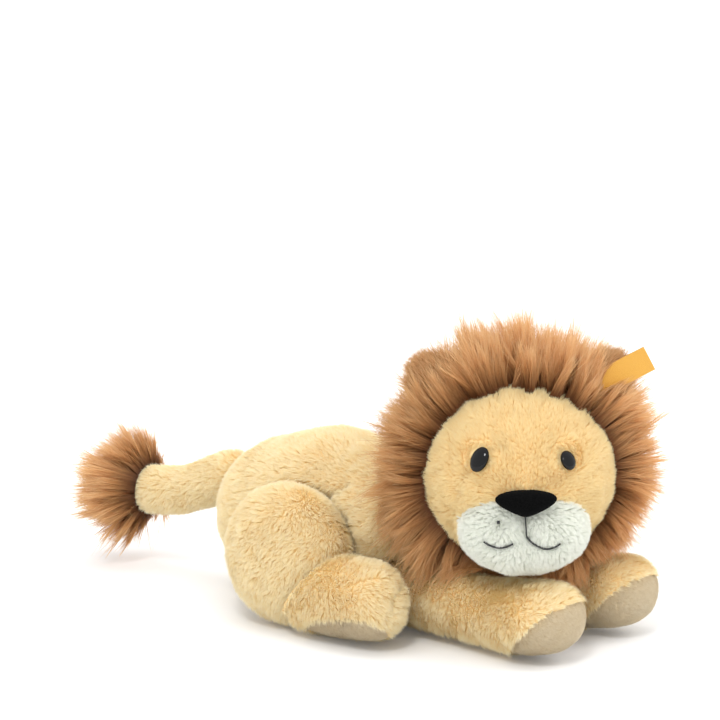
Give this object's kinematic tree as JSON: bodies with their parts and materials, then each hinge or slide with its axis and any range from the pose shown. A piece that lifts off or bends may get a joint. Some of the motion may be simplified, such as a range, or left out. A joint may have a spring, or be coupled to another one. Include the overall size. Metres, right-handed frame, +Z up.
{
  "type": "plush lion",
  "caption": "Soft stuffed lion lying on its belly, with a long-haired mane, a turned head, outstretched front legs, folded hind legs and a tufted tail.",
  "frame": {"origin": "on the floor, at the middle of the belly's resting face", "axes": "+Z up, -Y where the body points, +X the lion's left side"},
  "size_m": [0.203, 0.4226, 0.2035],
  "materials": {
    "tan_plush": "short clumpy plush",
    "mane_plush": "long silky hair with dark roots",
    "white_plush": "short dense plush",
    "cream_velour": "short combed velour",
    "black_velvet": "matte velvet",
    "eye_plastic": "polished",
    "washer_plastic": "moulded",
    "ribbon": "woven ribbon",
    "fibre_filling": "loose fibre"
  },
  "bodies": {
    "torso": {"torso_cover": "tan_plush", "torso_filling": "fibre_filling"},
    "head": {"head_cover": "tan_plush", "head_filling": "fibre_filling", "muzzle": "white_plush", "nose": "black_velvet", "eye_left": "eye_plastic", "eye_right": "eye_plastic", "eye_washer_left": "washer_plastic", "eye_washer_right": "washer_plastic", "mane": "mane_plush", "ear_left": "mane_plush", "ear_right": "mane_plush", "ear_tag": "ribbon"},
    "left_front_leg": {"left_front_leg": "tan_plush", "left_front_leg_filling": "fibre_filling", "left_front_sole": "cream_velour"},
    "right_front_leg": {"right_front_leg": "tan_plush", "right_front_leg_filling": "fibre_filling", "right_front_sole": "cream_velour"},
    "left_hind_leg": {"left_thigh": "tan_plush", "left_thigh_filling": "fibre_filling", "left_hind_foot": "tan_plush", "left_hind_foot_filling": "fibre_filling", "left_hind_sole": "cream_velour"},
    "right_hind_leg": {"right_thigh": "tan_plush", "right_thigh_filling": "fibre_filling", "right_hind_foot": "tan_plush", "right_hind_foot_filling": "fibre_filling", "right_hind_sole": "cream_velour"},
    "tail": {"tail": "tan_plush", "tail_filling": "fibre_filling"},
    "tuft": {"tail_tuft": "mane_plush"}
  },
  "joints": [
    {"name": "head_turn", "type": "hinge", "parent": "torso", "child": "head", "pos_m": [-0.005, -0.1315, 0.107], "axis": [0, 0, 1], "range_deg": [-18, 18], "stiffness_Nm_per_rad": 0.05},
    {"name": "left_front_leg_swing", "type": "hinge", "parent": "torso", "child": "left_front_leg", "pos_m": [0.0245, -0.055, 0.0245], "axis": [0, 0, 1], "range_deg": [-3, 10], "stiffness_Nm_per_rad": 0.02},
    {"name": "right_front_leg_swing", "type": "hinge", "parent": "torso", "child": "right_front_leg", "pos_m": [-0.0245, -0.055, 0.0245], "axis": [0, 0, -1], "range_deg": [-3, 10], "stiffness_Nm_per_rad": 0.02},
    {"name": "left_hind_leg_swing", "type": "hinge", "parent": "torso", "child": "left_hind_leg", "pos_m": [0.056, 0.046, 0], "axis": [0, 0, 1], "range_deg": [0, 18], "stiffness_Nm_per_rad": 0.02},
    {"name": "right_hind_leg_swing", "type": "hinge", "parent": "torso", "child": "right_hind_leg", "pos_m": [-0.056, 0.046, 0], "axis": [0, 0, -1], "range_deg": [0, 18], "stiffness_Nm_per_rad": 0.02},
    {"name": "tail_swing", "type": "hinge", "parent": "torso", "child": "tail", "pos_m": [0, 0.09271, 0.07], "axis": [0, 0, 1], "range_deg": [-30, 30], "stiffness_Nm_per_rad": 0.01},
    {"name": "tuft_bend", "type": "hinge", "parent": "tail", "child": "tuft", "pos_m": [0, 0.158, 0.051], "axis": [0, 0, 1], "range_deg": [-25, 25], "stiffness_Nm_per_rad": 0.004}
  ]
}
